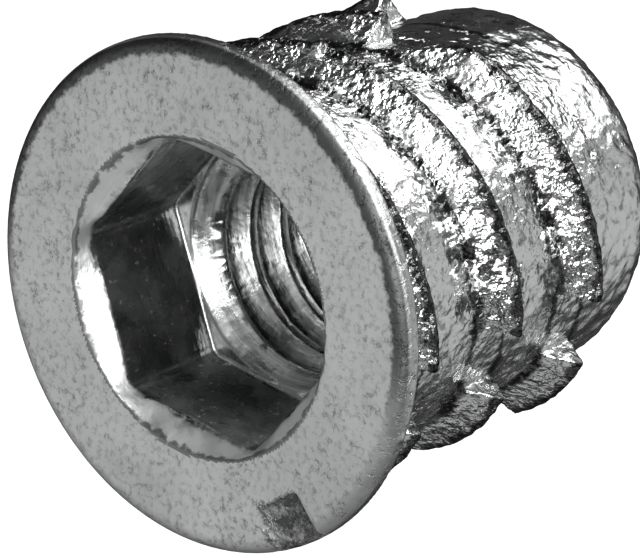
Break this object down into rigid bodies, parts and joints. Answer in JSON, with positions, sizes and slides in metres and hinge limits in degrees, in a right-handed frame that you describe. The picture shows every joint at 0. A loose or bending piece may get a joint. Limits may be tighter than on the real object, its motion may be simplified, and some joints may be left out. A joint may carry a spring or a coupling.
{
  "type": "threaded insert",
  "caption": "Flanged zinc wood insert: coarse interrupted outer thread, hex socket for driving it, and a machine-threaded through bore.",
  "frame": {"origin": "centre of the tip's end face, on the bore's axis", "axes": "+Z along the bore axis, from the tip to the flange's face; two flats of the hex socket lie across X"},
  "size_m": [0.0152, 0.0152, 0.015],
  "materials": {
    "zinc": "bright zinc die casting with a satin flange face and a glossy pebbled cast skin"
  },
  "bodies": {
    "root": {"threaded_insert": "zinc"}
  },
  "joints": []
}
